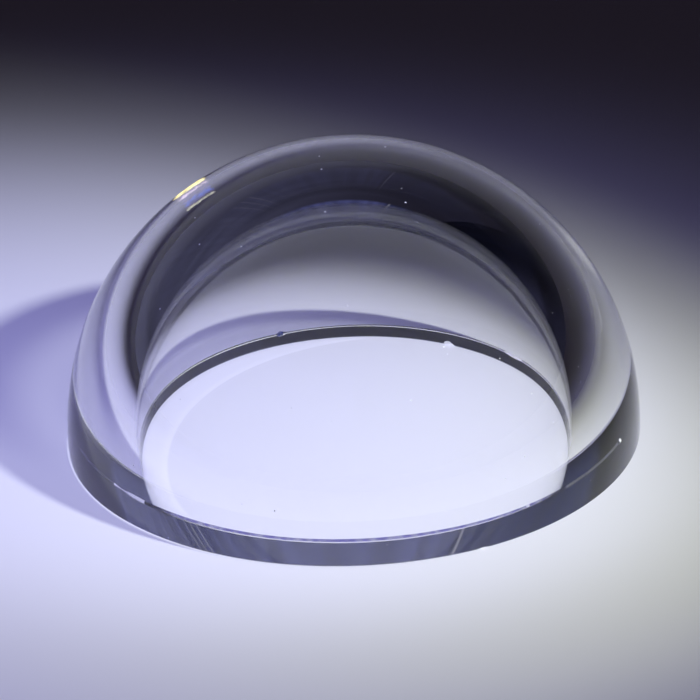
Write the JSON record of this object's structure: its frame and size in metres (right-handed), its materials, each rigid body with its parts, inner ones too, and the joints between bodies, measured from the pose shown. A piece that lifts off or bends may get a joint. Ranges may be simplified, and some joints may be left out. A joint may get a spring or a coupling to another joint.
{
  "type": "optical glass dome",
  "caption": "Hollow hemispherical dome of clear polished glass with a flat ring-shaped seat and bevelled edges, a window that covers a lens or sensor.",
  "frame": {"origin": "centre of both spherical faces, which lies in the plane of the seat, at the middle of its ring", "axes": "+Z along the axis of symmetry, from the seat towards the crown"},
  "size_m": [0.085, 0.085, 0.0425],
  "materials": {
    "optical_glass": "polished spherical faces, fine-ground bevels"
  },
  "bodies": {
    "root": {"glass_dome": "optical_glass"}
  },
  "joints": []
}
